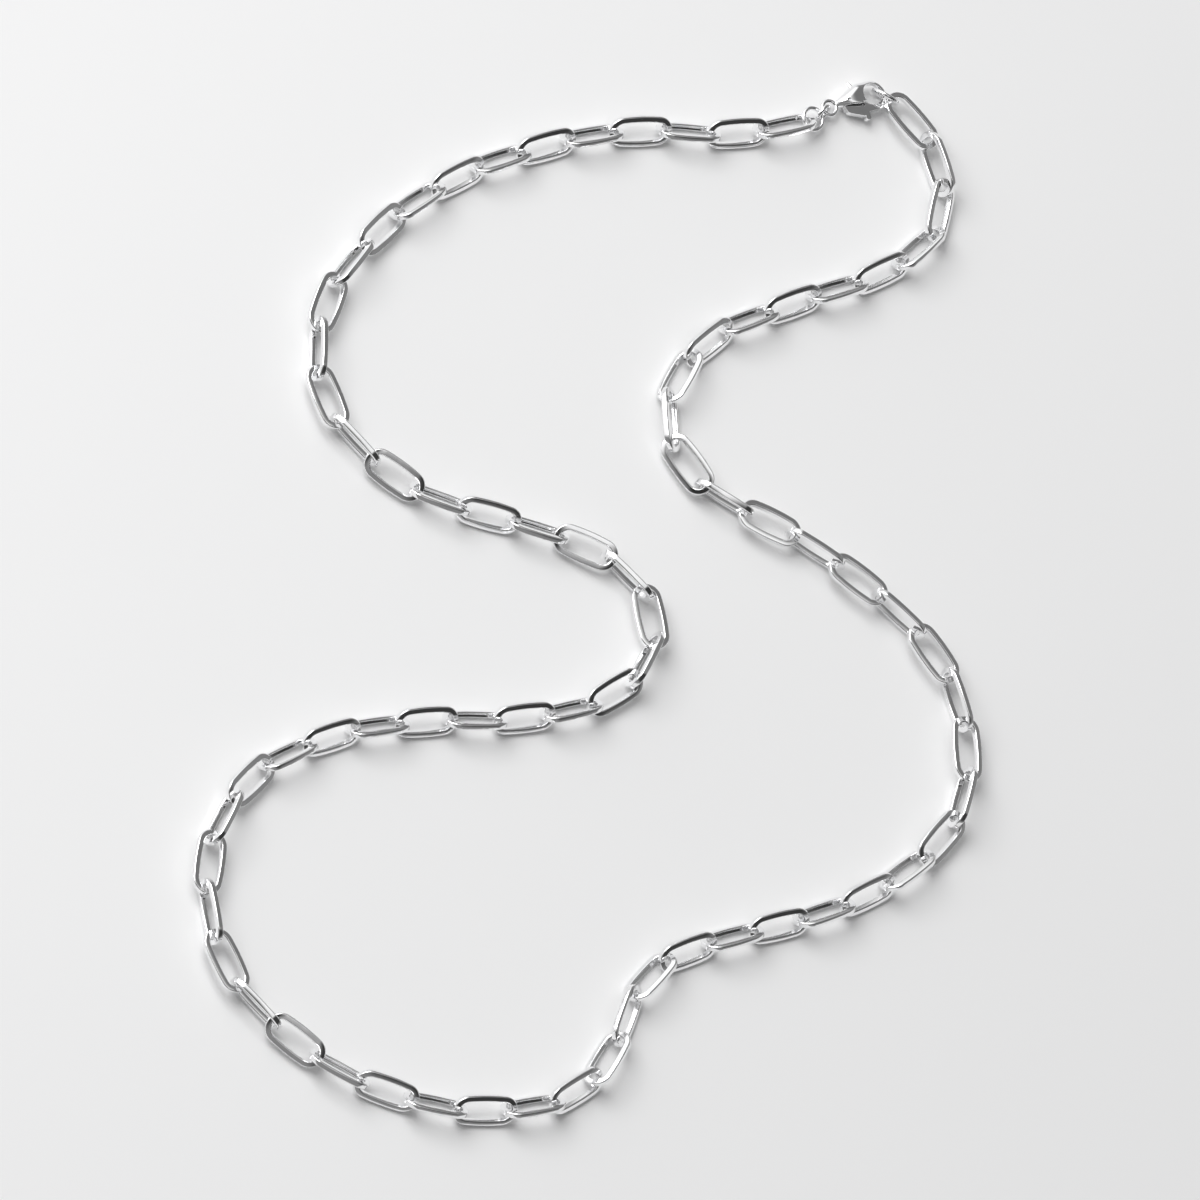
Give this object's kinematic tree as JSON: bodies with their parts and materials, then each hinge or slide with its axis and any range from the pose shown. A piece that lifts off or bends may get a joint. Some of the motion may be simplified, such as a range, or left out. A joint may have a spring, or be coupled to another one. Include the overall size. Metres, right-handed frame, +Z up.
{
  "type": "paperclip chain necklace",
  "caption": "Closed necklace of long oval paperclip links lying in a loose loop, with jump rings and a lobster clasp whose sprung lever opens.",
  "frame": {"origin": "middle of the laid-out necklace's bounding box, on the surface that it lies on", "axes": "+Z up from the surface, +Y along the loop's longer way towards the clasp, +X to the right of the picture"},
  "size_m": [0.1306, 0.1679, 0.005],
  "materials": {
    "link_silver": "polished",
    "ring_silver": "polished",
    "clasp_silver": "polished",
    "lever_silver": "polished",
    "pin_silver": "polished"
  },
  "bodies": {
    "necklace": {"chain_eye_half": "link_silver", "chain_hook_half": "link_silver", "ring_by_chain": "ring_silver", "ring_by_eye": "ring_silver", "hook_ring": "ring_silver", "clasp_body": "clasp_silver", "clasp_pin": "pin_silver"},
    "lever": {"clasp_lever": "lever_silver"}
  },
  "joints": [
    {"name": "lever_hinge", "type": "hinge", "parent": "necklace", "child": "lever", "pos_m": [0.04871, 0.08031, 0.0015], "axis": [0, 0, 1], "range_deg": [0, 8], "stiffness_Nm_per_rad": 0.004, "springref_deg": -28.65}
  ]
}
